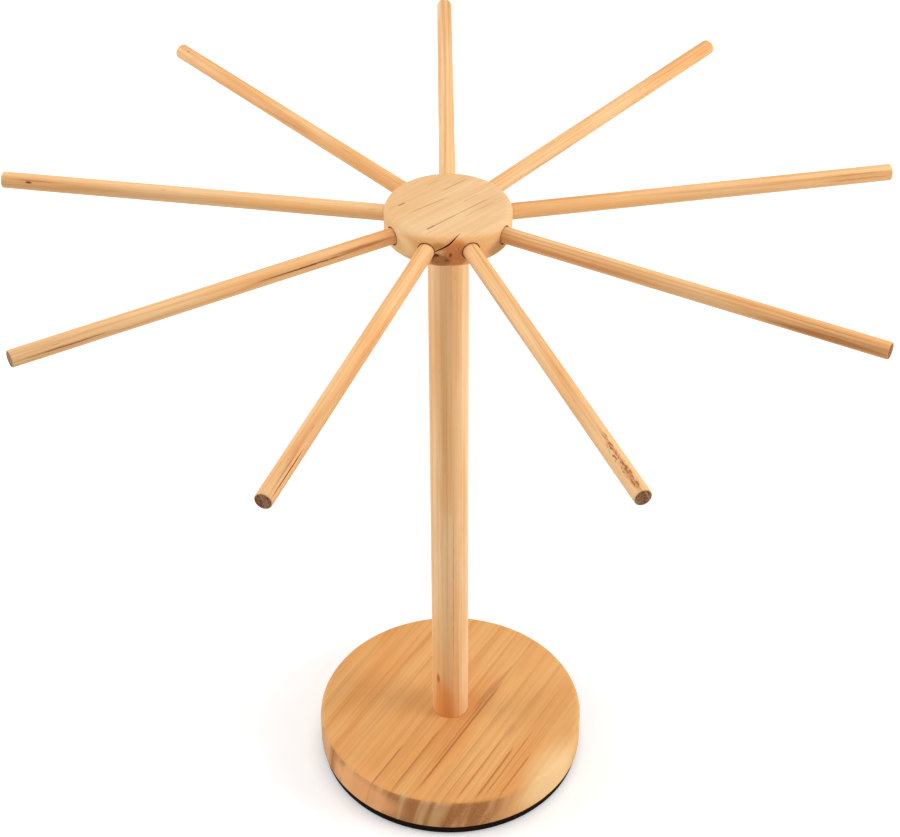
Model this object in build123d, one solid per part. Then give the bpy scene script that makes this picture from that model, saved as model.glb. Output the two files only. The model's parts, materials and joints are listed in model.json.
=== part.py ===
from build123d import *
from math import cos, radians, sin
import os

# A pasta drying rack: a heavy round base, a plain round post, and a hub that turns on the top
# end of the post and carries a ring of rods, each plugged into its own socket in the hub's rim.
# Millimetres, +Z up. The origin is the middle of the face that the rack stands on, on the axis
# of the post. The first rod points along +Y, and the others follow it anticlockwise.

# Fits
running_gap = 0.1           # all round: what turns or pulls out
seat_gap = 0.05             # all round: what is tapped in and stays
overrun = 2.0               # how far each cut runs past the face that it opens

# Rounded rims
rim_flats = 3               # the narrow flats that follow the arc of a rounded rim

# Rods
rod_count = 9
rod_length = 257.0
rod_diameter = 10.0
rod_edge_bevel = 0.8
first_rod_azimuth = 90.0

# Hub
hub_diameter = 76.5
hub_thickness = 19.0
hub_top_round = 5.0
hub_bottom_bevel = 1.2
hub_roof = 6.0              # wood left over the end of the post
hub_core_wall = 5.0         # wood left between the post's socket and the end of a rod's socket
rod_end_gap = 0.3           # air between a rod's inner end and the bottom of its socket
mouth_flare = 0.5           # the broken edge round the mouth of a socket

# Post
post_length = 424.0
post_diameter = 25.0
post_edge_bevel = 0.8

# Glide washer between the end of the post and the roof of its socket in the hub
glide_diameter = 22.0
glide_hole_diameter = 8.0
glide_thickness = 1.0

# Base
base_diameter = 185.0
base_thickness = 25.0
base_top_round = 4.0
base_bottom_bevel = 1.0
base_web = 7.0              # wood left between the post's socket and the recess for the bolt's head
bolt_recess_depth = 7.0
bolt_recess_gap = 1.0       # all round the washer

# Anti-slip pad, glued under the base
pad_thickness = 7.0
pad_inset = 1.5             # how far its rim stands back from the rim of the base
pad_edge_bevel = 1.0
pad_hole_margin = 3.0       # how far its hole stands back from the recess for the bolt's head

# Bolt from under the base, with its washer
bolt_diameter = 6.0
bolt_length = 30.0
bolt_tip_bevel = 0.8
bolt_hole_gap = 0.3
bolt_head_diameter = 10.5
bolt_head_height = 3.3
bolt_head_bevel = 1.4
key_width = 4.0             # across the flats of the hexagon socket
key_depth = 2.0
washer_diameter = 18.0
washer_thickness = 1.6

# Threaded insert in the end grain of the post's foot
insert_length = 15.0
insert_wall = 2.0
insert_flange_width = 1.5
insert_flange_thickness = 1.2
bolt_tip_room = 4.0         # depth of the drilled hole past the tip of the bolt

# Heights, from the ground up
base_bottom = pad_thickness
base_top = base_bottom + base_thickness
bolt_seat = base_bottom + bolt_recess_depth
post_bottom = bolt_seat + base_web
post_top = post_bottom + post_length
hub_socket_roof = post_top + glide_thickness
hub_top = hub_socket_roof + hub_roof
hub_bottom = hub_top - hub_thickness
rod_height = (hub_bottom + hub_top) / 2
bolt_head_seat = bolt_seat - washer_thickness
bolt_tip = bolt_head_seat + bolt_length

# Distances from the axis of the post
base_radius = base_diameter / 2
post_radius = post_diameter / 2
hub_radius = hub_diameter / 2
hub_socket_radius = post_radius + running_gap
rod_socket_end = hub_socket_radius + hub_core_wall
rod_start = rod_socket_end + rod_end_gap
washer_radius = washer_diameter / 2
bolt_recess_radius = washer_radius + bolt_recess_gap
bolt_radius = bolt_diameter / 2
insert_radius = bolt_radius + insert_wall
insert_flange_radius = insert_radius + insert_flange_width
pad_hole_radius = bolt_recess_radius + pad_hole_margin

STANDING = (Align.CENTER, Align.CENTER, Align.MIN)


def round_bar(radius, bottom, top):
    """A round bar on the axis of the post, from one height to another."""
    return Pos(Z=bottom) * Cylinder(radius, top - bottom, align=STANDING)


def end_edges(shape, height):
    """The edges of a shape that lie flat at a height."""
    return shape.edges().filter_by_position(Axis.Z, height, height)


def turned_disc(radius, bottom, top, top_round, bottom_bevel):
    """A disc turned from one outline: its upper rim rounded, its lower rim bevelled."""
    turns = [radians(90 * flat / rim_flats) for flat in range(rim_flats + 1)]
    rounded_rim = [
        (radius - top_round * (1 - cos(turn)), top - top_round * (1 - sin(turn)))
        for turn in turns
    ]
    outline = Polyline(
        (0, bottom),
        (radius - bottom_bevel, bottom),
        (radius, bottom + bottom_bevel),
        *rounded_rim,
        (0, top),
        close=True,
    )
    return revolve(Plane.XZ * make_face(outline), Axis.Z)


def along_rod(number):
    """Turns what stands on the origin, pointing up, so that it points out along a rod."""
    azimuth = first_rod_azimuth + number * 360 / rod_count
    return Pos(Z=rod_height) * Rot(Z=azimuth) * Rot(Y=90)


def rod(number):
    """A plain round rod, sawn square, with both ends eased."""
    bar = round_bar(rod_diameter / 2, rod_start, rod_start + rod_length)
    ends = end_edges(bar, rod_start) + end_edges(bar, rod_start + rod_length)
    return along_rod(number) * chamfer(ends, rod_edge_bevel)


def rod_socket(number):
    """What is cut from the hub for one rod: a blind hole with a flared mouth."""
    radius = rod_diameter / 2 + running_gap
    # The rim falls back on both sides of the rod, and the flare starts from there.
    rim_beside_rod = (hub_radius**2 - radius**2) ** 0.5
    flare_start = rim_beside_rod - mouth_flare
    mouth = hub_radius + overrun
    outline = Polyline(
        (0, rod_socket_end),
        (radius, rod_socket_end),
        (radius, flare_start),
        (radius + mouth - flare_start, mouth),
        (0, mouth),
        close=True,
    )
    return along_rod(number) * revolve(Plane.XZ * make_face(outline), Axis.Z)


def hub():
    """The disc that carries the rods, with its socket for the end of the post."""
    disc = turned_disc(hub_radius, hub_bottom, hub_top, hub_top_round, hub_bottom_bevel)
    disc -= round_bar(hub_socket_radius, hub_bottom - overrun, hub_socket_roof)
    mouth = end_edges(disc, hub_bottom).sort_by(SortBy.LENGTH)[0]
    disc = chamfer(mouth, mouth_flare)
    for number in range(rod_count):
        disc -= rod_socket(number)
    return disc


def glide_washer():
    """The thin washer that the hub turns on."""
    ring = round_bar(glide_diameter / 2, post_top, hub_socket_roof)
    return ring - round_bar(glide_hole_diameter / 2, post_top, hub_socket_roof)


def post():
    """The post, with both ends bevelled and its foot drilled for the insert and the bolt."""
    bar = round_bar(post_radius, post_bottom, post_top)
    bar = chamfer(end_edges(bar, post_bottom) + end_edges(bar, post_top), post_edge_bevel)
    below = post_bottom - overrun
    bar -= round_bar(insert_flange_radius + seat_gap, below, post_bottom + insert_flange_thickness)
    bar -= round_bar(insert_radius + seat_gap, below, post_bottom + insert_length)
    return bar - round_bar(bolt_radius + bolt_hole_gap, below, bolt_tip + bolt_tip_room)


def post_insert():
    """The threaded sleeve, flush with the foot of the post."""
    sleeve = round_bar(insert_radius, post_bottom, post_bottom + insert_length)
    sleeve += round_bar(insert_flange_radius, post_bottom, post_bottom + insert_flange_thickness)
    return sleeve - round_bar(bolt_radius + seat_gap, post_bottom, post_bottom + insert_length)


def base_disc():
    """The heavy base, with the post's socket above and the recess for the bolt's head below."""
    disc = turned_disc(base_radius, base_bottom, base_top, base_top_round, base_bottom_bevel)
    disc -= round_bar(post_radius + seat_gap, post_bottom, base_top + overrun)
    disc -= round_bar(bolt_recess_radius, base_bottom - overrun, bolt_seat)
    return disc - round_bar(bolt_radius + bolt_hole_gap, base_bottom, base_top)


def anti_slip_pad():
    """The pad that the rack stands on, with a hole to reach the bolt through."""
    disc = round_bar(base_radius - pad_inset, 0, pad_thickness)
    disc = chamfer(end_edges(disc, 0), pad_edge_bevel)
    return disc - round_bar(pad_hole_radius, 0, pad_thickness)


def base_bolt_washer():
    """The washer that spreads the bolt's pull over the wood."""
    disc = round_bar(washer_radius, bolt_head_seat, bolt_seat)
    return disc - round_bar(bolt_radius + bolt_hole_gap, bolt_head_seat, bolt_seat)


def base_bolt():
    """The bolt, head down, with a bevelled head and a hexagon socket for the key."""
    head_end = bolt_head_seat - bolt_head_height
    head = round_bar(bolt_head_diameter / 2, head_end, bolt_head_seat)
    head = chamfer(end_edges(head, head_end), bolt_head_bevel)
    shank = round_bar(bolt_radius, bolt_head_seat, bolt_tip)
    shank = chamfer(end_edges(shank, bolt_tip), bolt_tip_bevel)
    key = Pos(Z=head_end) * extrude(RegularPolygon(key_width / 2, 6, major_radius=False), key_depth)
    return head + shank - key


pieces = {
    "base_disc": base_disc(),
    "anti_slip_pad": anti_slip_pad(),
    "base_bolt": base_bolt(),
    "base_bolt_washer": base_bolt_washer(),
    "post_insert": post_insert(),
    "post": post(),
    "glide_washer": glide_washer(),
    "hub": hub(),
}
for number in range(rod_count):
    pieces[f"rod_{number + 1}"] = rod(number)

os.makedirs("parts", exist_ok=True)
for name, piece in pieces.items():
    piece.label = name
    export_step(piece, f"parts/{name}.step")
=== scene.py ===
# %% [markdown]
# # A wooden pasta drying rack
# The rack is a heavy round base, a plain post, and a hub that turns on the post and holds
# nine plug-in rods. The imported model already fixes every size, place and joint, so it is
# loaded first, and nothing in this lesson moves it. What is left for Blender is how the
# rack looks: turned and sanded softwood with its layers, knots and a crack, a rubber pad
# and some hardware.

# %% Load the fixed model
import json
import math

import bpy
from mathutils import Matrix, Vector


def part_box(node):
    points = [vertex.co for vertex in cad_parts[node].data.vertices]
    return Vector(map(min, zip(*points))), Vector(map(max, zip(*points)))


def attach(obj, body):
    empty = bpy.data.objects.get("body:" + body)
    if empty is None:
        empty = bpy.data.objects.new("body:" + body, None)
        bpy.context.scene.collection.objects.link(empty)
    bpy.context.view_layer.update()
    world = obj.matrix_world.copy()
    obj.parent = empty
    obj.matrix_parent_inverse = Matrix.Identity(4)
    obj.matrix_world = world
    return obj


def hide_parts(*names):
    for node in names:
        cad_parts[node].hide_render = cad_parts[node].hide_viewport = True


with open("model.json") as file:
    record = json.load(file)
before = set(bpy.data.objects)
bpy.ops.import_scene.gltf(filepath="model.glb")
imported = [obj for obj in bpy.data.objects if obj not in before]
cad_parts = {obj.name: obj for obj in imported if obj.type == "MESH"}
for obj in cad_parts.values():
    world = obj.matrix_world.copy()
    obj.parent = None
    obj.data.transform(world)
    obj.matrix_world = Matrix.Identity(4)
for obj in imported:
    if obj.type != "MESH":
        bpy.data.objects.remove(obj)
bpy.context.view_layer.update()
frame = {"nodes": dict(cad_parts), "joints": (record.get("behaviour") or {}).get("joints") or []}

nodes = frame["nodes"]
print("pieces in the model:", len(nodes))

# %% [markdown]
# Every size that the lesson needs is read from the model instead of typed again. The rods
# point outwards like the spokes of a wheel, and each one slides out of the hub along its
# own joint, so the joint's axis is the rod's direction.

# %% Read the sizes and the rods' directions
MM = 0.001
UP = Vector((0, 0, 1))


def reach(node):
    """How far a piece reaches from the axis of the post, along X or Y."""
    low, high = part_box(node)
    return max(high.x, high.y, -low.x, -low.y)


base_bottom, base_top = (corner.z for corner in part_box("base_disc"))
post_bottom, post_top = (corner.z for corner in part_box("post"))
hub_bottom, hub_top = (corner.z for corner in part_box("hub"))
base_radius = reach("base_disc")
post_radius = reach("post")
hub_radius = reach("hub")
rod_low, rod_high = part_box("rod_1")
rod_radius = (rod_high.z - rod_low.z) / 2
rod_height = (rod_high.z + rod_low.z) / 2
rod_start, rod_end = rod_low.y, rod_high.y
rod_way = {
    joint["child"]: Vector(joint["axis"])
    for joint in frame["joints"]
    if joint["child"].startswith("rod_")
}
print("rods:", len(rod_way), "each", round((rod_end - rod_start) / MM, 1), "mm long")

# %% [markdown]
# ## Turning the wooden pieces
# All the wood on this rack is turned: a lathe leaves a round piece whose outline is the
# same all the way round. In Blender that is a ring of corners that is extruded upwards
# again and again, and made wider or narrower at each step. A screw or spin of an outline
# would do too, but with rings each step can be read as a height and a radius.

# %% The lathe
# How many flats go round a piece: the wider it is, the more it needs to look round
SIDES = {"disc": 160, "post": 96, "rod": 64, "recess": 64, "sleeve": 48, "bolt": 32}


def alone(piece):
    """Selects one piece and nothing else, because an operator acts on all that is selected."""
    bpy.ops.object.select_all(action="DESELECT")
    piece.select_set(True)
    bpy.context.view_layer.objects.active = piece


def turned(name, sides, rings):
    """Builds a round piece upwards on the axis of the post from (height, radius) rings."""
    bpy.ops.object.select_all(action="DESELECT")
    height, radius = rings[0]
    bpy.ops.mesh.primitive_circle_add(
        vertices=sides, radius=radius, fill_type="NGON", location=(0, 0, height)
    )
    piece = bpy.context.object
    piece.name = piece.data.name = name
    bpy.ops.object.transform_apply(location=True, rotation=False, scale=False)
    bpy.ops.object.mode_set(mode="EDIT")
    bpy.ops.mesh.select_all(action="SELECT")
    for next_height, next_radius in rings[1:]:
        climb = {"value": (0, 0, next_height - height)}
        bpy.ops.mesh.extrude_region_move(TRANSFORM_OT_translate=climb)
        share = next_radius / radius
        bpy.ops.transform.resize(value=(share, share, 1), center_override=(0, 0, next_height))
        height, radius = next_height, next_radius
    bpy.ops.mesh.select_all(action="SELECT")
    bpy.ops.mesh.normals_make_consistent(inside=False)
    bpy.ops.object.mode_set(mode="OBJECT")
    return piece


print("the lathe turns a disc with", SIDES["disc"], "flats")

# %% [markdown]
# A turned edge is then softened. The bevel operator works on the edges that are selected,
# so the code picks the ring of edges whose two ends lie at the rim's height and radius.
# With many segments the bevel is a smooth round, as sandpaper leaves it.

# %% Soften a rim
HAIR = 0.01 * MM


def round_rim(piece, height, radius, size, flats):
    """Rounds the ring of edges that lies at one height and radius."""
    alone(piece)
    bpy.ops.object.mode_set(mode="EDIT")
    bpy.ops.mesh.select_mode(type="EDGE")
    bpy.ops.mesh.select_all(action="DESELECT")
    bpy.ops.object.mode_set(mode="OBJECT")
    corners = piece.data.vertices
    on_rim = {
        corner.index
        for corner in corners
        if abs(corner.co.z - height) < HAIR and abs(corner.co.xy.length - radius) < HAIR
    }
    for edge in piece.data.edges:
        edge.select = all(corner in on_rim for corner in edge.vertices)
    bpy.ops.object.mode_set(mode="EDIT")
    bpy.ops.mesh.bevel(offset=size, segments=flats, affect="EDGES")
    bpy.ops.object.mode_set(mode="OBJECT")


print("a rim within", HAIR / MM, "mm is picked")

# %% [markdown]
# The post and the rods are dowels: plain round sticks, sawn square, with both ends eased.
# One helper turns them all. Each end gets a second ring inside its rim, so that the bevel
# runs out on narrow faces and the wide end face stays flat.

# %% Turn a dowel
EDGE_FLATS = 4


def dowel(name, sides, radius, ends, edge):
    """A round stick between two heights, with both of its ends eased."""
    low, high = ends
    inner = radius - 2 * edge
    stick = turned(name, sides, [(low, inner), (low, radius), (high, radius), (high, inner)])
    for end in ends:
        round_rim(stick, end, radius, edge, EDGE_FLATS)
    return stick


print("the ends of a dowel are eased in", EDGE_FLATS, "flats")

# %% [markdown]
# Holes are drilled: a tool with the shape of the hole is laid where the hole goes, and a
# Boolean modifier takes it out. The walls of the hole can get the tool's own material,
# which is how a bore or a crack comes out darker than the sanded surface round it: raw
# wood, painted darker still as the shade inside a hole.

# %% Cut, copy and lay down pieces


def cut(piece, tool):
    """Takes the tool's shape out of a piece, and then puts the tool away."""
    alone(piece)
    drill = piece.modifiers.new("cut", "BOOLEAN")
    drill.operation = "DIFFERENCE"
    drill.solver = "EXACT"
    drill.material_mode = "TRANSFER"
    drill.object = tool
    bpy.ops.object.modifier_apply(modifier=drill.name)
    bpy.data.objects.remove(tool)


def copied(piece, name):
    """A copy of a piece, with a mesh of its own."""
    alone(piece)
    bpy.ops.object.duplicate()
    twin = bpy.context.object
    twin.name = twin.data.name = name
    return twin


def pointed(piece, way):
    """Lays an upright piece down at the height of the rods, pointing along a direction."""
    alone(piece)
    piece.rotation_euler = way.to_track_quat("Z", "Y").to_euler()
    piece.location = (0, 0, rod_height)
    bpy.ops.object.transform_apply(location=True, rotation=True, scale=True)
    return piece


print("cutting, copying and laying down are ready")

# %% [markdown]
# ## Mixing a wood finish
# A material in Blender is a small graph of nodes. Building the graph from code stays
# readable if one helper adds a node and wires it in the same call: a number or a colour
# goes on the socket itself, and another node's output is linked to it.

# %% Helpers that add one shader node each


def add(tree, kind, sockets=(), output=0, **settings):
    """Adds a node, fills or links its sockets, and returns one of its outputs."""
    node = tree.nodes.new(kind)
    for name, value in settings.items():
        setattr(node, name, value)
    for socket, value in dict(sockets).items():
        if isinstance(value, bpy.types.NodeSocket):
            tree.links.new(value, node.inputs[socket])
        else:
            node.inputs[socket].default_value = value
    return node.outputs[output] if node.outputs else node


def maths(tree, operation, first, second=0.0, third=0.0):
    """One step of arithmetic."""
    return add(tree, "ShaderNodeMath", {0: first, 1: second, 2: third}, operation=operation)


def times(tree, first, second):
    """Two values multiplied."""
    return maths(tree, "MULTIPLY", first, second)


def vectors(tree, operation, first, second=(0, 0, 0), third=(0, 0, 0), output="Vector"):
    """One step of arithmetic on three numbers at once."""
    sockets = {0: first, 1: second}
    if operation == "MULTIPLY_ADD":
        sockets[2] = third
    return add(tree, "ShaderNodeVectorMath", sockets, output, operation=operation)


def rise(tree, value, start, end, low=0.0, high=1.0):
    """Goes smoothly from low to high while value goes from start to end."""
    sockets = {"Value": value, "From Min": start, "From Max": end, "To Min": low, "To Max": high}
    return add(tree, "ShaderNodeMapRange", sockets, interpolation_type="SMOOTHSTEP")


def tint(tree, share, base, colour):
    """Lays a colour over another one by a share from 0 to 1."""
    return add(tree, "ShaderNodeMix", {0: share, 6: base, 7: colour}, 2, data_type="RGBA")


def srgb(red, green, blue):
    """A colour as a picture shows it, from 0 to 255, turned into the shader's linear values."""
    shares = [channel / 255 for channel in (red, green, blue)]
    return (*(s / 12.92 if s < 0.04045 else ((s + 0.055) / 1.055) ** 2.4 for s in shares), 1.0)


print("the helpers for shader nodes are ready")

# %% [markdown]
# Wood is a solid with layers in it, not a picture glued on a surface. A tree adds a pale
# layer each spring and a dark thin one each summer, and every cut face shows where it
# crosses those layers: long lines on a top, slanting bands on a rim, arcs on an end. So
# the finish is worked out in three coordinates of the board itself: along the grain,
# across the layers, and the third way. A line that leaves the top then goes on down the side.

# %% The board's own coordinates
SLOW_WAVES = (0.012, 0.05, 0.05)    # waves in a millimetre along the board's three ways
SEED_SHIFT = (1.0, 1.7, 2.3)        # how a seed moves the noise, so that no two boards match


def board_ways(board):
    """The board's three directions: along the grain, across the layers and the third way."""
    return board["grain"], board["across"], board["grain"].cross(board["across"])


def board_middle(board):
    """The place that the board is measured from, in millimetres."""
    return board.get("middle", Vector()) / MM


def board_place(tree, board):
    """Each point in millimetres along the board's three directions."""
    place = add(tree, "ShaderNodeTexCoord", output="Object")
    place = vectors(tree, "MULTIPLY_ADD", place, (1 / MM,) * 3, -board_middle(board))
    return [vectors(tree, "DOT_PRODUCT", place, way, output="Value") for way in board_ways(board)]


def joined(tree, place):
    """Three separate coordinates made one place again."""
    return add(tree, "ShaderNodeCombineXYZ", dict(enumerate(place)))


def cloud(tree, place, stretch, seed, detail=2.0):
    """Soft noise from 0 to 1. The stretch is how many waves fit in a millimetre each way."""
    shift = [seed * share for share in SEED_SHIFT]
    shifted = vectors(tree, "MULTIPLY_ADD", joined(tree, place), stretch, shift)
    return add(tree, "ShaderNodeTexNoise", {"Vector": shifted, "Scale": 1.0, "Detail": detail})


print("slow waves of the grain are", round(1 / SLOW_WAVES[0]), "mm long")

# %% [markdown]
# The layers themselves: the coordinate across them is bent a little by noise, divided by
# the distance between two layers, and only its fraction is kept. The fraction climbs
# slowly to the dark summer wood and then drops quickly to the next pale spring wood,
# which is what gives softwood its sharp lines. Each layer gets a strength of its own.

# %% Growth layers
SUMMER_POWER = 4.0          # the higher, the later and the narrower the dark summer wood
SPRING_START = 0.09         # the share of a layer in which the dark fades out again
FAINTEST_LAYER = 0.2        # the strength of the faintest layer beside the strongest


def bent_layers(tree, place, layers, seed):
    """The coordinate across the layers, bent as the tree grew, and how dark the layer is."""
    along, across, third = place
    bent = maths(tree, "MULTIPLY_ADD", third, layers["lean"], across)
    bow = times(tree, times(tree, third, third), layers.get("bow", 0.0))
    bent = maths(tree, "ADD", bent, bow)
    bent = maths(tree, "MULTIPLY_ADD", along, layers.get("drift", 0.0), bent)
    waves = maths(tree, "SUBTRACT", cloud(tree, place, SLOW_WAVES, seed), 0.5)
    bent = maths(tree, "MULTIPLY_ADD", waves, layers["wander"], bent)
    layer = maths(tree, "SUBTRACT", bent, layers["first"])
    layer = maths(tree, "DIVIDE", layer, layers["spacing"])
    number = maths(tree, "ADD", maths(tree, "FLOOR", layer), seed)
    strength = add(tree, "ShaderNodeTexWhiteNoise", {"W": number}, noise_dimensions="1D")
    part = maths(tree, "FRACT", layer)
    summer = maths(tree, "POWER", part, SUMMER_POWER)
    spring = rise(tree, part, 0.0, SPRING_START, 1.0, 0.0)
    dark = maths(tree, "MAXIMUM", summer, spring)
    return bent, times(tree, dark, rise(tree, strength, 0.0, 1.0, FAINTEST_LAYER, 1.0))


print("the faintest layer has", FAINTEST_LAYER, "of the strongest one's colour")

# %% [markdown]
# A board is known by its faults. A single dark line follows one layer for a while and
# fades out at both ends. A knot or a stain is an egg-shaped spot that is full in its core
# and gone at its edge. Both are worked out from the same three coordinates as the layers,
# so they run on over an edge as the real ones do.

# %% Single lines and spots
LINE_FADE = 0.2             # the share of a line's length in which each end fades
LINE_CORE = 0.2             # the share of a line's width that has its full colour


def grain_line(tree, place, bent, line):
    """A dark line along a layer, from (across, start, end, width, strength, slope)."""
    across, start, end, width, strength, slope = line
    target = maths(tree, "MULTIPLY_ADD", place[0], slope, across)
    off = maths(tree, "ABSOLUTE", maths(tree, "SUBTRACT", bent, target))
    fade = (end - start) * LINE_FADE
    shown = rise(tree, off, width * LINE_CORE, width, strength, 0.0)
    shown = times(tree, shown, rise(tree, place[0], start, start + fade))
    return times(tree, shown, rise(tree, place[0], end - fade, end, 1.0, 0.0))


def spot(tree, corner, board, mark):
    """How much an egg-shaped spot colours each point, from (centre, radii, strength, core)."""
    centre, radii, strength, core = mark
    local = [(Vector(centre) - board_middle(board)).dot(way) for way in board_ways(board)]
    shares = [1 / radius for radius in radii]
    shift = [-share * side for share, side in zip(shares, local)]
    off = vectors(tree, "MULTIPLY_ADD", corner, shares, shift)
    distance = vectors(tree, "LENGTH", off, output="Value")
    return rise(tree, distance, core, 1.0, strength, 0.0)


print("a line fades over", LINE_FADE, "of its length at each end")

# %% [markdown]
# Along the grain the colour is built up in thin veils, as a stain is: broad pale and warm
# patches, long streaks, the layers, fine fibres, and a few open pores. Each veil is noise
# that is stretched along the grain, because everything in wood is long that way.

# %% The colour along the grain
DEEP_BROWN = srgb(98, 54, 26)

# Each veil: waves in a millimetre along the board's three ways, the detail of the noise,
# and the noise at which the veil starts to show and at which it is full
PATCHES = ((0.007, 0.05, 0.03), 2.0, 0.36, 0.64)
STREAKS = ((0.006, 0.42, 0.05), 2.0, 0.42, 0.75)
PORES = ((0.09, 2.6, 2.0), 1.0, 0.70, 0.78)
FIBRES = (0.03, 2.2, 1.4)
FIBRE_DETAIL = 3.0
FIBRE_VEIL = (0.42, 0.8, 0.0, 0.3)  # where it starts and is full, then its least and most


def veil(tree, place, kind, seed, low=0.0, high=1.0):
    """Noise that goes from low, where the veil doesn't show, to high, where it is full."""
    stretch, detail, start, full = kind
    return rise(tree, cloud(tree, place, stretch, seed, detail), start, full, low, high)


def along_grain(tree, grown, layer, fibres, colours, layers, seed):
    """The colour of a face that runs along the grain."""
    late = colours["late"]
    patches = veil(tree, grown, PATCHES, seed + 3)
    colour = tint(tree, patches, colours["pale"], colours["warm"])
    streaks = veil(tree, grown, STREAKS, seed + 5)
    colour = tint(tree, times(tree, streaks, layers["streaks"]), colour, late)
    colour = tint(tree, times(tree, layer, layers["depth"]), colour, late)
    colour = tint(tree, rise(tree, fibres, *FIBRE_VEIL), colour, late)
    pores = veil(tree, grown, PORES, seed + 8, high=layers["pores"])
    return tint(tree, pores, colour, DEEP_BROWN)


print("a fibre is about", round(1 / FIBRES[1], 2), "mm thick")

# %% [markdown]
# Where a board is cut across, its tiny tubes are open and swallow light, so an end looks
# darker and speckled, with the layers as bands. The shader finds such places by how far
# the surface faces along the grain, which it knows from the normal in the piece's own
# coordinates, so the ends stay dark whichever way the hub is turned.

# %% The colour of an end
END_PALE = srgb(224, 184, 142)
END_SPECKS = ((0.02, 1.7, 1.7), 3.0, 0.35, 0.65)
LEAST_SPECK = 0.65          # how much of the dark is left between two specks


def end_bands(bands_in_mm):
    """The veil that makes bands on an end, from how many fit in a millimetre."""
    return ((0.002, bands_in_mm, 0.01), 4.0, 0.36, 0.6)


def facing_along(tree, board, ends):
    """1 where the wood is cut across the grain, 0 where it is cut along it."""
    facing = add(tree, "ShaderNodeTexCoord", output="Normal")
    facing = vectors(tree, "DOT_PRODUCT", facing, board["grain"], output="Value")
    return rise(tree, maths(tree, "ABSOLUTE", facing), ends["from"], ends["to"])


def end_grain(tree, place, grown, facing, ends, seed, colour):
    """Lays the pale bands and then the dark, speckled ones over the colour of an end."""
    specks = veil(tree, place, END_SPECKS, seed + 9, LEAST_SPECK)
    bands = veil(tree, grown, end_bands(ends["bands"]), seed + 10)
    pale = times(tree, maths(tree, "SUBTRACT", 1.0, bands), facing)
    colour = tint(tree, times(tree, pale, ends["pale"]), colour, END_PALE)
    dark = times(tree, times(tree, facing, specks), ends["share"])
    dark = times(tree, dark, rise(tree, bands, 0.0, 1.0, ends["even"], 1.0))
    return tint(tree, dark, colour, ends["colour"])


print("between two specks an end keeps", LEAST_SPECK, "of its dark colour")

# %% [markdown]
# Knots, stains and speckles are laid over that. Their edges are moved a little by noise,
# so that no outline is a clean egg, and the fibres show through them. A speckled place
# is the same spot, broken up into dots.

# %% Knots, stains and speckles
WOBBLE = (0.25, 0.5, 0.5)
DOTS = ((0.4, 1.5, 1.5), 2.0, 0.5, 0.6)
FIBRES_IN_A_MARK = (0.3, 0.6, 0.75, 1.0)    # in the order of FIBRE_VEIL


def laid_marks(tree, place, board, fibres, seed, colour, marks, speckled):
    """Lays marks over a colour, each with its own colour as the last of its values."""
    wobble = maths(tree, "SUBTRACT", cloud(tree, place, WOBBLE, seed + 11), 0.5)
    corner = vectors(tree, "ADD", joined(tree, place), wobble)
    grainy = rise(tree, fibres, *FIBRES_IN_A_MARK)
    for *mark, mark_colour in marks:
        amount = times(tree, spot(tree, corner, board, mark), grainy)
        colour = tint(tree, amount, colour, mark_colour)
    for *mark, mark_colour in speckled:
        dots = veil(tree, place, DOTS, seed + 12)
        amount = times(tree, spot(tree, corner, board, mark), dots)
        colour = tint(tree, amount, colour, mark_colour)
    return colour


print("a dot is about", round(1 / DOTS[0][1], 1), "mm wide")

# %% [markdown]
# The finish puts all of this together. Sanded wood without varnish has a weak, wide
# shine: it is a little rougher where the fibres are dark and on the ends. The dark layers
# and the single lines lie a few hundredths of a millimetre deeper and catch the light.

# %% The finish of sanded, unvarnished softwood
WOOD_ROUGHNESS = 0.52
FIBRE_ROUGHNESS = 0.2
END_ROUGHNESS = 0.15
WOOD_GLOSS = 0.2
WOOD_RELIEF = 0.05 * MM
WOOD_BUMP = 0.4
LAYER_DEPTH = 0.3           # of the relief
FIBRE_HEIGHT = 0.5          # of the relief


def blank(name):
    """A new material, its node tree, and the shader that its surface is made with."""
    material = bpy.data.materials.new(name)
    material.use_nodes = True
    return material, material.node_tree, material.node_tree.nodes["Principled BSDF"]


def relief(tree, surface, height, distance, strength):
    """Makes the surface catch the light as if it were uneven."""
    bump = {"Height": height, "Distance": distance, "Strength": strength}
    tree.links.new(add(tree, "ShaderNodeBump", bump), surface.inputs["Normal"])


def softwood(name, board, colours, layers, seed, ends, lines=(), marks=(), speckled=()):
    """A wood material; all its places and sizes are in millimetres."""
    material, tree, surface = blank(name)
    place = board_place(tree, board)
    bent, layer = bent_layers(tree, place, layers, seed)
    grown = [place[0], bent, place[2]]
    fibres = cloud(tree, grown, FIBRES, seed + 7, FIBRE_DETAIL)
    facing = facing_along(tree, board, ends)

    colour = along_grain(tree, grown, layer, fibres, colours, layers, seed)
    colour = end_grain(tree, place, grown, facing, ends, seed, colour)
    colour = laid_marks(tree, place, board, fibres, seed, colour, marks, speckled)
    hollow = times(tree, layer, LAYER_DEPTH)
    for line in lines:
        amount = grain_line(tree, place, bent, line)
        colour = tint(tree, amount, colour, colours["line"])
        hollow = maths(tree, "MAXIMUM", hollow, amount)
    tree.links.new(colour, surface.inputs["Base Color"])

    rough = maths(tree, "MULTIPLY_ADD", fibres, FIBRE_ROUGHNESS, WOOD_ROUGHNESS)
    rough = maths(tree, "MULTIPLY_ADD", facing, END_ROUGHNESS, rough)
    tree.links.new(rough, surface.inputs["Roughness"])
    height = maths(tree, "SUBTRACT", times(tree, fibres, FIBRE_HEIGHT), hollow)
    relief(tree, surface, height, WOOD_RELIEF, WOOD_BUMP)
    surface.inputs["Specular IOR Level"].default_value = WOOD_GLOSS
    return material


print("the relief of the wood is", WOOD_RELIEF / MM, "mm")
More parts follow.
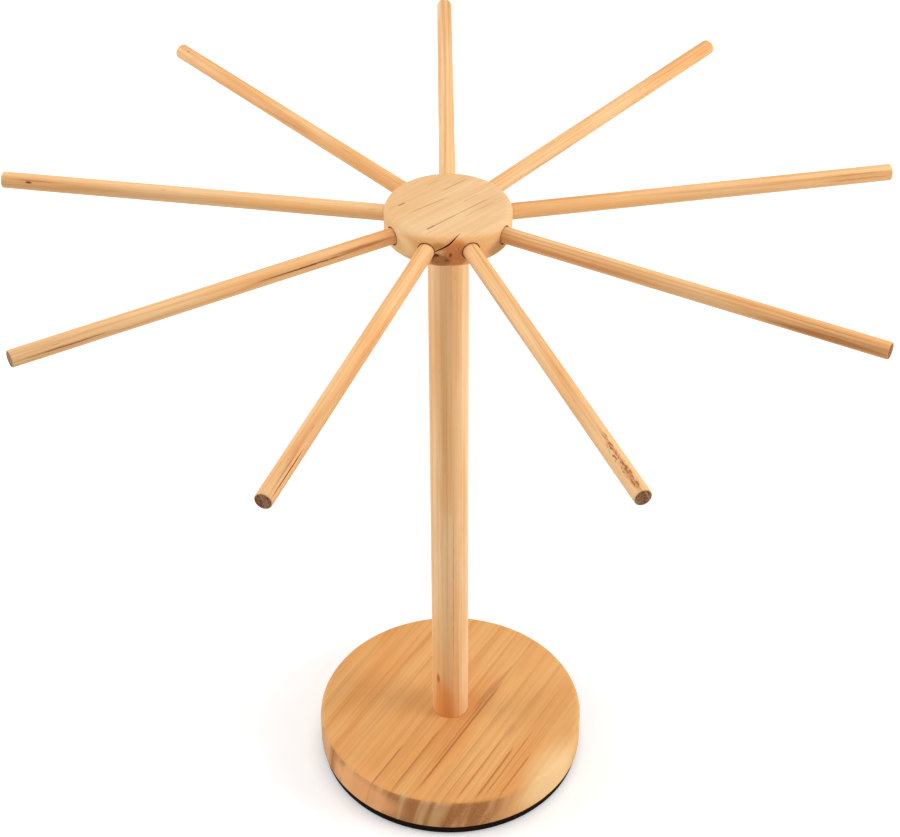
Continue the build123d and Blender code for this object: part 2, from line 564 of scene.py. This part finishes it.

# %% [markdown]
# Rubber, metal, plastic and the raw wood in a bore, with its painted shade, need less: fine
# noise moves their colour, their gloss and their surface a little, so that they don't look like
# paint.

# %% The finish of the small parts
FINE_NOISE = ((3.0, 3.0, 3.0), 4.0, 4.0)    # waves in a millimetre, seed and detail
UNEVEN = (0.3, 0.7)         # the noise at which the colour is darkest and at which it is full
DARKEST = 0.6               # the darkest places, as a share of the colour
ROUGHNESS_SWING = 0.2
SMALL_BUMP = 0.5


def plain_finish(name, colour, roughness, metallic=0.0, bump=0.05, gloss=0.5):
    """A material of one colour, a little uneven in colour, gloss and height."""
    material, tree, surface = blank(name)
    place = board_place(tree, {"grain": Vector((1, 0, 0)), "across": Vector((0, 1, 0))})
    noise = cloud(tree, place, *FINE_NOISE)
    darker = (*(channel * DARKEST for channel in colour[:3]), 1.0)
    uneven = tint(tree, rise(tree, noise, *UNEVEN), darker, colour)
    tree.links.new(uneven, surface.inputs["Base Color"])
    rough = maths(tree, "MULTIPLY_ADD", noise, ROUGHNESS_SWING, roughness - ROUGHNESS_SWING / 2)
    tree.links.new(rough, surface.inputs["Roughness"])
    relief(tree, surface, noise, bump * MM, SMALL_BUMP)
    surface.inputs["Metallic"].default_value = metallic
    surface.inputs["Specular IOR Level"].default_value = gloss
    return material


# Bores are raw wood, painted darker still as the shade inside a hole
bore_wood_with_painted_shade = plain_finish("raw_wood_and_painted_shade_in_a_bore", srgb(112, 68, 40), 0.8, gloss=0.1)
# Inside a crack the wood is darker, and painted nearly black as the shade deep in it
crack_wood_with_painted_shade = plain_finish("dark_wood_and_painted_shade_inside_a_crack", srgb(62, 30, 16), 0.9, gloss=0.05)
groove_wood = plain_finish("wood_inside_a_groove", srgb(164, 90, 42), 0.85, gloss=0.1)
print("bores, cracks and grooves have their own wood")

# %% [markdown]
# Most holes in the rack are plain round bores on the axis of the post. One helper turns
# the drill for them, gives it the raw wood of a bore, painted darker as the shade inside a
# hole, and cuts with it. A drill runs on past the face that it opens, because two faces at
# the same place confuse a Boolean.

# %% Drill a bore
OVERRUN = 2.0 * MM


def bored(piece, name, sides, radius, ends):
    """Drills a round hole on the axis of the post, between two heights."""
    drill = turned(name, sides, [(end, radius) for end in ends])
    drill.data.materials.append(bore_wood_with_painted_shade)
    cut(piece, drill)


print("a drill runs", OVERRUN / MM, "mm past the face")

# %% [markdown]
# Each new piece is hung on the moving part that it rides on, and the piece of the model
# that it stands for is hidden. Smooth shading hides the flats of the turned walls, but only
# where two faces meet at a small angle, so the sharp edges stay sharp.

# %% Finish a piece
SMOOTH_BELOW = math.radians(32)


def finished(piece, body, node):
    """Smooths a piece, hangs it on what it rides on, and hides the piece of the model it stands
    for.
    """
    alone(piece)
    bpy.ops.object.shade_smooth_by_angle(angle=SMOOTH_BELOW)
    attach(piece, body)
    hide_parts(node)
    print(piece.name, "has", len(piece.data.polygons), "faces")


def dress(node_name, material):
    """Gives a piece of the model its material."""
    piece = nodes[node_name]
    piece.data.materials.clear()
    piece.data.materials.append(material)
    print(node_name, "wears", material.name)


print("edges under", round(math.degrees(SMOOTH_BELOW)), "degrees are shaded smooth")

# %% [markdown]
# ## The base
# The base is cut from a wide board whose layers stand almost upright and lean a little,
# so its top shows long parallel lines and its rim shows the same lines as slanting bands.
# The rim to the left and at the front is cut across the grain and is darker and browner.
# The places of the lines were measured on the real one, in millimetres from its middle.
# In these tables a line is its place across the layers, its start and end along the grain,
# its width, its strength and its slope. A mark is its centre, its three radii, its
# strength, the share of it that is core, and its colour. Of the layers, the tables give
# the spacing, the place of the first, how far they lean and how far noise makes them
# wander, and then how strongly the streaks, the layers and the pores show. Of the ends,
# they give how squarely the wood is cut across where the dark starts and where it is
# full, how dark and how even it is, how many bands a millimetre has, and how pale they are.

# %% The wood of the base
GRAIN_OF_BASE = math.radians(59)
base_board = {"grain": Vector((math.cos(GRAIN_OF_BASE), math.sin(GRAIN_OF_BASE), 0))}
base_board["across"] = UP.cross(base_board["grain"])
TOP_OF_BASE = base_top / MM
base_wood = softwood(
    "base_softwood",
    base_board,
    {
        "pale": srgb(235, 179, 113),
        "warm": srgb(228, 162, 94),
        "late": srgb(182, 112, 56),
        "line": srgb(172, 98, 44),
    },
    {
        "spacing": 14.2,
        "first": -12.4,
        "lean": 0.24,
        "wander": 2.0,
        "streaks": 0.24,
        "depth": 0.3,
        "pores": 0.2,
    },
    seed=2.0,
    ends={
        "from": 0.45,
        "to": 0.7,
        "share": 0.76,
        "even": 0.3,
        "bands": 0.11,
        "pale": 0.5,
        "colour": srgb(138, 78, 40),
    },
    lines=[
        (-13.1, -89, 48, 1.3, 0.8, 0),
        (-10.6, -60, 20, 1.0, 0.55, 0),
        (-51.5, -72, -9, 1.3, 0.75, 0),
        (-55.6, -66, 10, 0.9, 0.55, 0),
        (-40.3, -80, 0, 1.0, 0.55, 0),
        (-33.0, -86, -20, 0.7, 0.4, 0),
        (-25.5, -85, 30, 0.8, 0.35, 0),
        (2.0, -90, -20, 1.0, 0.55, 0),
        (16.7, -95, -48, 1.0, 0.7, 0),
        (-64.1, -60, -10, 1.1, 0.6, 0),
    ],
    marks=[
        ((27, 11, TOP_OF_BASE), (28, 3.4, 6), 0.7, 0.25, srgb(184, 116, 64)),
        ((37, 25, TOP_OF_BASE), (26, 1.8, 6), 0.6, 0.2, srgb(190, 122, 68)),
        ((42, -25, TOP_OF_BASE), (12, 5, 6), 0.4, 0.0, srgb(186, 120, 78)),
        # Painted light: a pale yellow patch on the right front of the rim, where the lamp on the
        # right lights it
        ((70, -62, TOP_OF_BASE - 12), (46, 26, 24), 0.75, 0.35, srgb(250, 212, 156)),
        # Painted light: the left front of the rim is painted lighter, against the shade that
        # falls there
        ((-62, -66, TOP_OF_BASE - 14), (22, 42, 18), 0.9, 0.5, srgb(244, 176, 118)),
    ],
)
print("the base wood has", len(base_wood.node_tree.nodes), "nodes")

# %% [markdown]
# The post stands in a blind socket in the top, and a bolt from below holds it. Seen from
# under the rack there is a round recess for the bolt's head and a hole for its shank.
# Both flat faces get one more ring, a little inside the rim, so that the rim's round and
# bevel end on narrow faces, and the wide middle is shaded as flat as it is.

# %% Turn and drill the base
BASE_ROUND = 4.0 * MM       # how far the upper rim is rounded
BASE_ROUND_FLATS = 10
BASE_BEVEL = 1.0 * MM       # how far the lower rim is bevelled
SEAT_GAP = 0.05 * MM        # all round what is tapped in and stays
RECESS_RADIUS = 10.0 * MM
BOLT_HOLE_RADIUS = 3.3 * MM

base = turned(
    "turned_base",
    SIDES["disc"],
    [
        (base_bottom, base_radius - 4 * BASE_BEVEL),
        (base_bottom, base_radius - BASE_BEVEL),
        (base_bottom + BASE_BEVEL, base_radius),
        (base_top, base_radius),
        (base_top, base_radius - BASE_ROUND - 2 * BASE_BEVEL),
    ],
)
round_rim(base, base_top, base_radius, BASE_ROUND, BASE_ROUND_FLATS)
base.data.materials.append(base_wood)
socket_radius = post_radius + SEAT_GAP
recess_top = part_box("base_bolt_washer")[1].z
bored(base, "socket_drill", SIDES["post"], socket_radius, (post_bottom, base_top + OVERRUN))
bored(base, "recess_drill", SIDES["recess"], RECESS_RADIUS, (base_bottom - OVERRUN, recess_top))
bored(base, "bolt_drill", SIDES["bolt"], BOLT_HOLE_RADIUS, (base_bottom, base_top))
finished(base, "stand", "base_disc")

# %% [markdown]
# ## The post
# The post is a stock dowel. Its layers run straight up it as pale and tan stripes, a small
# flame-shaped knot sits near its foot, and the wood turns orange below the knot.

# %% The wood of the post


def on_post(azimuth, height):
    """A place on the post's surface, in millimetres."""
    turn = math.radians(azimuth)
    return (post_radius / MM * math.cos(turn), post_radius / MM * math.sin(turn), height)


END_OF_A_STICK = {
    "from": 0.8,
    "to": 0.96,
    "share": 1.0,
    "even": 0.8,
    "bands": 0.3,
    "pale": 0.1,
    "colour": srgb(98, 50, 36),
}
post_board = {"grain": UP, "across": Vector((1, 0, 0))}
post_wood = softwood(
    "post_softwood",
    post_board,
    {
        "pale": srgb(247, 208, 160),
        "warm": srgb(242, 189, 130),
        "late": srgb(220, 154, 90),
    },
    {
        "spacing": 3.1,
        "first": -11.3,
        "lean": 0.06,
        "wander": 1.2,
        "streaks": 0.35,
        "depth": 0.33,
        "pores": 0.25,
    },
    seed=8.0,
    ends=END_OF_A_STICK,
    marks=[
        (on_post(246, TOP_OF_BASE + 2), (42, 11, 9), 0.75, 0.45, srgb(234, 152, 76)),
        (on_post(205, 240), (300, 2.2, 5), 0.35, 0.2, srgb(222, 160, 104)),
        (on_post(252, 330), (130, 2.0, 4), 0.3, 0.1, srgb(214, 148, 86)),
        (on_post(281, 150), (130, 0.45, 2), 0.65, 0.2, srgb(188, 112, 56)),
        (on_post(262, 250), (200, 0.4, 2), 0.3, 0.2, srgb(186, 114, 58)),
        (on_post(296, 60), (60, 0.9, 3), 0.5, 0.2, srgb(226, 146, 80)),
        (on_post(228, 64), (13, 3.0, 3.4), 0.55, 0.1, srgb(220, 140, 72)),
        (on_post(228, 68.4), (6.0, 1.5, 2.4), 0.8, 0.3, srgb(160, 94, 46)),
    ],
)
print("the post wood has", len(post_wood.node_tree.nodes), "nodes")

# %% [markdown]
# Its foot is drilled for the brass sleeve that the bolt screws into. That never shows, but
# the piece is then true when somebody takes the rack apart.

# %% Turn and drill the post
POST_BEVEL = 0.8 * MM
BOLT_TIP_ROOM = 4.0 * MM    # how far the hole runs on past the tip of the bolt

post = dowel("post_dowel", SIDES["post"], post_radius, (post_bottom, post_top), POST_BEVEL)
post.data.materials.append(post_wood)
sleeve_hole = reach("post_insert") + SEAT_GAP
sleeve_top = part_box("post_insert")[1].z
bolt_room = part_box("base_bolt")[1].z + BOLT_TIP_ROOM
bored(post, "sleeve_drill", SIDES["sleeve"], sleeve_hole, (post_bottom - OVERRUN, sleeve_top))
bored(post, "tip_drill", SIDES["bolt"], BOLT_HOLE_RADIUS, (post_bottom, bolt_room))
finished(post, "stand", "post")

# %% [markdown]
# ## The hub
# The hub is a smaller disc of paler wood with a few short dark lines on its top. On the
# side between two rods the board had a fault: a knot, redder wood beside it, and a crack
# that runs from the rim's crown down to the mouth of the rod on its left.

# %% The wood of the hub
GRAIN_OF_HUB = math.radians(42)
hub_board = {
    "grain": Vector((math.cos(GRAIN_OF_HUB), math.sin(GRAIN_OF_HUB), 0)),
    "middle": Vector((0, 0, hub_top)),
}
hub_board["across"] = UP.cross(hub_board["grain"])
hub_wood = softwood(
    "hub_softwood",
    hub_board,
    {
        "pale": srgb(236, 199, 150),
        "warm": srgb(231, 187, 134),
        "late": srgb(194, 128, 70),
        "line": srgb(158, 92, 42),
    },
    {
        "spacing": 6.3,
        "first": -11.7,
        "lean": 0.1,
        "wander": 1.0,
        "streaks": 0.13,
        "depth": 0.12,
        "pores": 0.25,
    },
    seed=5.0,
    ends={
        "from": 0.6,
        "to": 1.0,
        "share": 0.08,
        "even": 0.5,
        "bands": 0.2,
        "pale": 0.1,
        "colour": srgb(176, 116, 72),
    },
    lines=[
        (-11.7, -25, -2, 0.7, 0.7, 0),
        (-11.7, -7, 24, 0.6, 0.5, 0),
        (-11.7, -28, -21, 0.9, 0.9, 0),
        (18.5, -23, -17, 0.7, 0.95, 0),
        (6.2, -25, 8, 0.5, 0.55, -0.103),
        (13.4, 6.5, 28.7, 0.5, 0.5, 0),
        (-4.0, 8, 22, 0.5, 0.35, 0),
        (-16.5, -4, 24, 0.5, 0.35, 0),
        (24.0, 4, 16, 0.5, 0.35, 0),
    ],
    marks=[
        ((0, -40, 440), (48, 48, 12.6), 0.75, 0.86, srgb(236, 172, 102)),
        # Painted light: the left of the hub's front side is painted lighter, against the shade
        # there
        ((-30, -25, 441), (17, 17, 10), 1.0, 0.5, srgb(255, 212, 152)),
        # Painted shade: the lower right of the hub's front side is painted darker
        ((30, -25, 438), (13, 13, 7.5), 0.7, 0.4, srgb(184, 118, 68)),
        ((-5, -38, 446.8), (6.5, 6.5, 3.5), 0.75, 0.4, srgb(206, 132, 66)),
        ((4.2, -38, 442), (9.2, 9.2, 11.5), 0.85, 0.6, srgb(206, 118, 54)),
        ((-5, -38, 437.2), (7.5, 7.5, 5.4), 0.85, 0.55, srgb(156, 94, 46)),
        ((1.0, -38.2, 441.4), (1.3, 1.3, 2.2), 0.85, 0.3, srgb(84, 36, 14)),
        ((-1.2, -38.2, 437.6), (2.2, 2.2, 1.2), 0.6, 0.2, srgb(84, 40, 18)),
        ((-7.7, -37.5, 440.8), (3.0, 3.0, 1.4), 0.95, 0.5, srgb(40, 18, 10)),
        ((24, 2, 452), (22, 12, 6), 0.6, 0.1, srgb(222, 172, 124)),
    ],
)
print("the hub wood has", len(hub_wood.node_tree.nodes), "nodes")

# %% [markdown]
# A crack is a thin tapering gap. Here its tool is a curve laid along the crack, given a
# small round thickness that shrinks towards both ends, and then turned into a mesh.
# Cutting it out leaves a real groove whose walls wear the dark wood, painted nearly black
# as the shade deep in a crack.

# %% The tool for a crack
CRACK_ENDS = 0.12           # the width at its ends, as a share of the width in its middle
CRACK_TAPER = 0.6           # under 1, it stays wide until near its ends


def crack_tool(name, points, width, wood):
    """A thin tapering tube along points given in millimetres, thickest in its middle."""
    bpy.ops.object.select_all(action="DESELECT")
    bpy.ops.curve.primitive_nurbs_path_add(location=(0, 0, 0))
    path = bpy.context.object
    path.name = name
    spline = path.data.splines[0]
    spline.points.add(len(points) - len(spline.points))
    for number, (point, knot) in enumerate(zip(points, spline.points)):
        knot.co = (*(side * MM for side in point), 1)
        way_through = number / (len(points) - 1)
        knot.radius = max(CRACK_ENDS, math.sin(math.pi * way_through) ** CRACK_TAPER)
    spline.order_u = 3
    spline.use_endpoint_u = True
    path.data.bevel_depth = width / 2
    path.data.bevel_resolution = 2
    path.data.use_fill_caps = True
    bpy.ops.object.convert(target="MESH")
    tool = bpy.context.object
    tool.data.materials.clear()
    tool.data.materials.append(wood)
    return tool


CRACK_WIDTH = 1.0 * MM
hub_crack = [
    (7.0, -32.1, 452.0),
    (5.2, -34.0, 451.9),
    (2.8, -36.7, 450.5),
    (0.4, -38.0, 448.6),
    (-1.9, -38.2, 447.0),
    (-4.9, -37.9, 445.1),
    (-7.9, -37.4, 443.4),
    (-9.2, -37.1, 442.4),
]
print("the crack runs through", len(hub_crack), "points")

# %% [markdown]
# The nine sockets are one drill, modelled once and copied. Its mouth is a little wider, so
# each hole gets a broken edge, and the bore, painted dark as the shade in the gap round a
# rod, shows as a thin dark ring.

# %% Turn and drill the hub
HUB_ROUND = 5.0 * MM
HUB_ROUND_FLATS = 12
HUB_BEVEL = 1.2 * MM
HUB_CORE_WALL = 5.0 * MM    # wood between the post's socket and the end of a rod's socket
MOUTH_FLARE = 0.5 * MM
RUNNING_GAP = 0.1 * MM      # all round what turns or pulls out

hub = turned(
    "turned_hub",
    SIDES["disc"],
    [
        (hub_bottom, hub_radius - 3 * HUB_BEVEL),
        (hub_bottom, hub_radius - HUB_BEVEL),
        (hub_bottom + HUB_BEVEL, hub_radius),
        (hub_top, hub_radius),
        (hub_top, hub_radius - HUB_ROUND - HUB_BEVEL),
    ],
)
round_rim(hub, hub_top, hub_radius, HUB_ROUND, HUB_ROUND_FLATS)
hub.data.materials.append(hub_wood)

hub_socket_radius = post_radius + RUNNING_GAP
socket_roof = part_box("glide_washer")[1].z
post_drill = turned(
    "post_drill",
    SIDES["post"],
    [
        (hub_bottom - OVERRUN, hub_socket_radius + MOUTH_FLARE + OVERRUN),
        (hub_bottom + MOUTH_FLARE, hub_socket_radius),
        (socket_roof, hub_socket_radius),
    ],
)
socket_radius = rod_radius + RUNNING_GAP
flare_start = math.sqrt(hub_radius**2 - socket_radius**2) - MOUTH_FLARE
mouth = hub_radius + OVERRUN
rod_drill = turned(
    "rod_drill",
    SIDES["rod"],
    [
        (hub_socket_radius + HUB_CORE_WALL, socket_radius),
        (flare_start, socket_radius),
        (mouth, socket_radius + mouth - flare_start),
    ],
)
post_drill.data.materials.append(bore_wood_with_painted_shade)
rod_drill.data.materials.append(bore_wood_with_painted_shade)
cut(hub, post_drill)
for rod_name, way in rod_way.items():
    cut(hub, pointed(copied(rod_drill, f"drill_for_{rod_name}"), way))
bpy.data.objects.remove(rod_drill)
cut(hub, crack_tool("crack_in_the_hub", hub_crack, CRACK_WIDTH, crack_wood_with_painted_shade))
finished(hub, "hub", "hub")

# %% [markdown]
# ## The rods
# The nine rods are one rod, modelled once and copied with a mesh of its own each. Every
# dowel is another piece of wood, so each copy gets its own seed, and those marks that can
# be seen on the real one: a knot, a few dark lines, a brown speckled place near an end.
# The marks are measured, so they are kept in a table, apart from the code that lays them.

# %% The marks on the rods
LINE_BROWN = srgb(154, 84, 36)
DARK_LINE = srgb(112, 56, 22)
ORANGE = srgb(214, 134, 70)
# A real orange stain near the hub, painted lighter as painted light against the shade there
ORANGE_STAIN_WITH_PAINTED_LIGHT = srgb(248, 184, 112)
RED_BROWN = srgb(176, 98, 44)

# Millimetres out from the post, degrees round from the top, radii, strength, core, colour
rod_marks = {
    "rod_1": [(150, 150, (140, 2.5, 3), 0.3, 0.2, ORANGE)],
    "rod_2": [(264, 20, (1.5, 1.0, 1.0), 0.6, 0.2, LINE_BROWN)],
    "rod_3": [
        # an orange stain near the hub, with painted light against the shade there
        (90, 70, (80, 4, 4), 0.7, 0.3, ORANGE_STAIN_WITH_PAINTED_LIGHT),
        (257, 62, (2.8, 1.1, 1.1), 0.95, 0.4, srgb(88, 44, 20)),
        (254, 48, (26, 0.8, 1.1), 0.75, 0.2, srgb(196, 116, 54)),
    ],
    "rod_4": [
        (245, 82, (36, 0.7, 0.9), 0.85, 0.3, LINE_BROWN),
        (96, 74, (46, 0.6, 0.8), 0.95, 0.3, DARK_LINE),
        (60, 62, (32, 1.6, 1.8), 0.8, 0.2, srgb(164, 92, 42)),
    ],
    "rod_5": [
        (120, 60, (120, 1.3, 2.0), 0.35, 0.2, ORANGE),
        (252, 36, (26, 0.6, 0.8), 0.55, 0.2, srgb(158, 92, 50)),
        (238, 20, (12, 3.0, 3.0), 0.35, 0.1, srgb(226, 136, 88)),
    ],
    "rod_6": [
        (262, -22, (16, 2.2, 2.2), 0.5, 0.2, RED_BROWN),
        (246, -10, (32, 1.2, 1.4), 0.5, 0.2, RED_BROWN),
    ],
    "rod_7": [
        (90, -84, (80, 1.8, 2.4), 0.6, 0.2, ORANGE),
        (238, -92, (50, 2.6, 3.2), 0.75, 0.3, RED_BROWN),
        (240, -34, (40, 0.6, 0.8), 0.5, 0.2, srgb(180, 106, 50)),
    ],
    "rod_8": [
        # an orange stain near the hub, with painted light against the shade there
        (90, -80, (80, 4, 4), 0.7, 0.3, ORANGE_STAIN_WITH_PAINTED_LIGHT),
        (252, -48, (30, 0.6, 0.9), 0.5, 0.2, RED_BROWN),
        (252, -82, (30, 0.6, 0.9), 0.5, 0.2, RED_BROWN),
    ],
    "rod_9": [(262, -60, (16, 1.4, 1.6), 0.35, 0.2, ORANGE)],
}
rod_specks = {
    "rod_6": [
        (254, -18, (26, 2.6, 2.6), 0.9, 0.6, LINE_BROWN),
        (236, -4, (16, 1.6, 1.6), 0.8, 0.5, RED_BROWN),
    ],
}
print("marked rods:", len(rod_marks))

# %% [markdown]
# A mark on a rod is easiest to find by how far out it lies and how far round from the top,
# so the tables say that, and the code works out the place in space from the rod's own
# direction. The layers of a rod are narrow and a little curved, because they are short
# arcs of a tree's rings.

# %% The wood of the rods
ROD_COLOURS = {
    "pale": srgb(244, 200, 145),
    "warm": srgb(236, 177, 115),
    "late": srgb(192, 122, 64),
}
ROD_LAYERS = {
    "spacing": 2.6,
    "first": 0.4,
    "lean": 0.3,
    "bow": 0.03,
    "drift": 0.004,
    "wander": 1.4,
    "streaks": 0.5,
    "depth": 0.35,
    "pores": 0.3,
}
FIRST_SEED = 20.0
SEED_STEP = 3.0


def on_rod(name, out, turn):
    """A place on a rod: millimetres out from the post, and degrees round from its top."""
    way = rod_way[name]
    side = UP.cross(way)
    angle = math.radians(turn)
    round_rod = UP * math.cos(angle) + side * math.sin(angle)
    return (way * out + round_rod * (rod_radius / MM)) + UP * (rod_height / MM)


def placed(name, table):
    """One rod's marks from a table, with their places worked out."""
    return [(on_rod(name, out, turn), *rest) for out, turn, *rest in table.get(name, ())]


def wood_of_rod(name, number):
    """The wood of one rod, with a seed and marks of its own."""
    way = rod_way[name]
    return softwood(
        f"{name}_softwood",
        {"grain": way, "across": UP.cross(way), "middle": Vector((0, 0, rod_height))},
        ROD_COLOURS,
        ROD_LAYERS,
        seed=FIRST_SEED + SEED_STEP * number,
        ends=END_OF_A_STICK,
        marks=placed(name, rod_marks),
        speckled=placed(name, rod_specks),
    )


print("the layers of a rod are", ROD_LAYERS["spacing"], "mm apart")

# %% [markdown]
# The rod is turned once, upright, and each copy is laid down along its own direction. One
# rod also has a fault that can be felt: a shallow groove near its outer end. It is cut
# with the same kind of tool as the crack in the hub, only finer and straight.

# %% Turn one rod and copy it
ROD_EDGE = 0.8 * MM
GROOVE_WIDTH = 0.7 * MM
GROOVE_TURN = 60            # degrees round from the top of the rod
GROOVE_PLACES = range(232, 275, 6)      # millimetres out from the post

master = dowel("master_rod", SIDES["rod"], rod_radius, (rod_start, rod_end), ROD_EDGE)
for number, (rod_name, way) in enumerate(rod_way.items()):
    rod_wood = wood_of_rod(rod_name, number)
    rod = pointed(copied(master, f"{rod_name}_dowel"), way)
    rod.data.materials.append(rod_wood)
    if rod_name == "rod_5":
        groove = [on_rod(rod_name, out, GROOVE_TURN) for out in GROOVE_PLACES]
        cut(rod, crack_tool("groove_in_a_rod", groove, GROOVE_WIDTH, groove_wood))
    finished(rod, rod_name, rod_name)
bpy.data.objects.remove(master)

# %% [markdown]
# ## The pad and the hardware
# These keep their shape from the model and only get a finish: matt black foam rubber for
# the pad, zinc on the bolt and its washer, brass on the sleeve, nylon on the glide ring.

# %% Dress the pad and the hardware
dress("anti_slip_pad", plain_finish("pad_foam_rubber", srgb(28, 14, 8), 0.9, gloss=0.1))
zinc = plain_finish("zinc_plated_steel", srgb(190, 192, 196), 0.35, 1.0, bump=0.01)
dress("base_bolt", zinc)
dress("base_bolt_washer", zinc)
dress("post_insert", plain_finish("turned_brass", srgb(206, 170, 98), 0.3, 1.0, bump=0.01))
dress("glide_washer", plain_finish("natural_nylon", srgb(232, 228, 216), 0.5, bump=0.01))

# %% [markdown]
# ## The studio
# A product photo is taken on white, with a large soft light on each side and one above.
# The floor is pale and diffuse. Only where the camera sees it, a little glow lifts it, and
# the glow grows with the distance from the rack, so the soft shadow still shows near the
# rack and the floor runs out to plain white. A camera under the floor looks through it.

# %% The floor
FLOOR_SIZE = 8              # metres
FLOOR_DROP = 0.2 * MM       # so that the pad and the floor don't lie in one place
FLOOR_COLOUR = (0.85, 0.85, 0.85, 1)
GLOW_FROM = 0.25            # metres from the middle of the rack
GLOW_TO = 1.6
GLOW_NEAR = 0.25            # the strength of the glow at those two distances
GLOW_FAR = 0.8


def seen_by_eye(tree):
    """1 for what the camera sees directly, in a reflection or through glass, else 0."""
    path = tree.nodes.new("ShaderNodeLightPath")
    seen = maths(tree, "ADD", path.outputs["Is Camera Ray"], path.outputs["Is Glossy Ray"])
    seen = maths(tree, "ADD", seen, path.outputs["Is Transmission Ray"])
    return maths(tree, "MINIMUM", seen, 1.0)


bpy.ops.object.select_all(action="DESELECT")
bpy.ops.mesh.primitive_plane_add(size=FLOOR_SIZE, location=(0, 0, -FLOOR_DROP))
floor = bpy.context.object
floor.name = "floor"
floor_paint = bpy.data.materials.new("pale_floor")
floor_paint.use_nodes = True
tree = floor_paint.node_tree
tree.nodes.clear()
away = vectors(tree, "LENGTH", add(tree, "ShaderNodeTexCoord", output="Object"), output="Value")
strength = rise(tree, away, GLOW_FROM, GLOW_TO, GLOW_NEAR, GLOW_FAR)
strength = times(tree, seen_by_eye(tree), strength)
glow = add(tree, "ShaderNodeEmission", {"Strength": strength})
diffuse = add(tree, "ShaderNodeBsdfDiffuse", {"Color": FLOOR_COLOUR})
upper_side = add(tree, "ShaderNodeAddShader", {0: diffuse, 1: glow})
underside = add(tree, "ShaderNodeNewGeometry", output="Backfacing")
clear = add(tree, "ShaderNodeBsdfTransparent")
both_sides = add(tree, "ShaderNodeMixShader", {0: underside, 1: upper_side, 2: clear})
add(tree, "ShaderNodeOutputMaterial", {"Surface": both_sides})
floor.data.materials.append(floor_paint)
print("the floor is", FLOOR_SIZE, "m wide")

# %% [markdown]
# The surroundings are white to the eye, as the paper behind a product is, but they light
# the rack less than that, because otherwise they would wash out the shade of the lamps.

# %% The white surroundings
WHITE = (1, 1, 1, 1)
AMBIENT = 0.4

world = bpy.data.worlds.new("white_studio")
bpy.context.scene.world = world
world.use_nodes = True
tree = world.node_tree
strength = maths(tree, "MULTIPLY_ADD", seen_by_eye(tree), 1.0 - AMBIENT, AMBIENT)
tree.links.new(strength, tree.nodes["Background"].inputs["Strength"])
tree.nodes["Background"].inputs["Color"].default_value = WHITE
print("the surroundings light the rack with", AMBIENT, "of white")

# %% [markdown]
# The lamps are large squares, because a large lamp gives soft shadows and no hard glare
# on the round rods. The one on the right is a little smaller and stronger than the one on
# the left, so the post and the rods are a little lighter on one side. All three are weak
# enough that the palest wood doesn't turn white.

# %% The lamps
AIM = Vector((0, 0, 0.2))


def softbox(name, place, size, watts):
    """A square lamp that faces the rack."""
    lamp = bpy.data.lights.new(name, "AREA")
    lamp.size = size
    lamp.energy = watts
    holder = bpy.data.objects.new(name, lamp)
    holder.location = place
    holder.rotation_euler = (AIM - Vector(place)).to_track_quat("-Z", "Y").to_euler()
    bpy.context.scene.collection.objects.link(holder)
    print(name, "gives", watts, "watts")


softbox("softbox_right", (1.7, -0.35, 0.85), 1.0, 17.5)
softbox("softbox_left", (-1.7, 0.1, 0.9), 1.2, 15.5)
softbox("softbox_above", (0.2, 0.1, 2.2), 1.2, 17)

# %% [markdown]
# The camera looks down on the rack from the front with a long lens, from the place that
# the photo was taken from. That place was worked out from where the rods' ends, the hub's
# rim and the base's rim appear in the picture.

# %% The camera
CAMERA_PLACE = (-0.00772, -1.04065, 1.10447)
SENSOR_WIDTH = 36           # millimetres, as the lens
LENS = 82.904
LOOK_DOWN = math.radians(52.011)
LOOK_ASIDE = math.radians(-0.460)
ROLL = math.radians(-0.250)

eye = bpy.data.cameras.new("camera")
eye.lens = LENS
eye.sensor_width = SENSOR_WIDTH
camera = bpy.data.objects.new("camera", eye)
camera.location = CAMERA_PLACE
turn = Matrix.Rotation(LOOK_ASIDE, 3, "Z") @ Matrix.Rotation(LOOK_DOWN, 3, "X")
camera.rotation_euler = (turn @ Matrix.Rotation(ROLL, 3, "Z")).to_euler()
bpy.context.scene.collection.objects.link(camera)
bpy.context.scene.camera = camera
bpy.context.scene.view_settings.view_transform = "Standard"
print("lens:", round(eye.lens, 1), "mm")
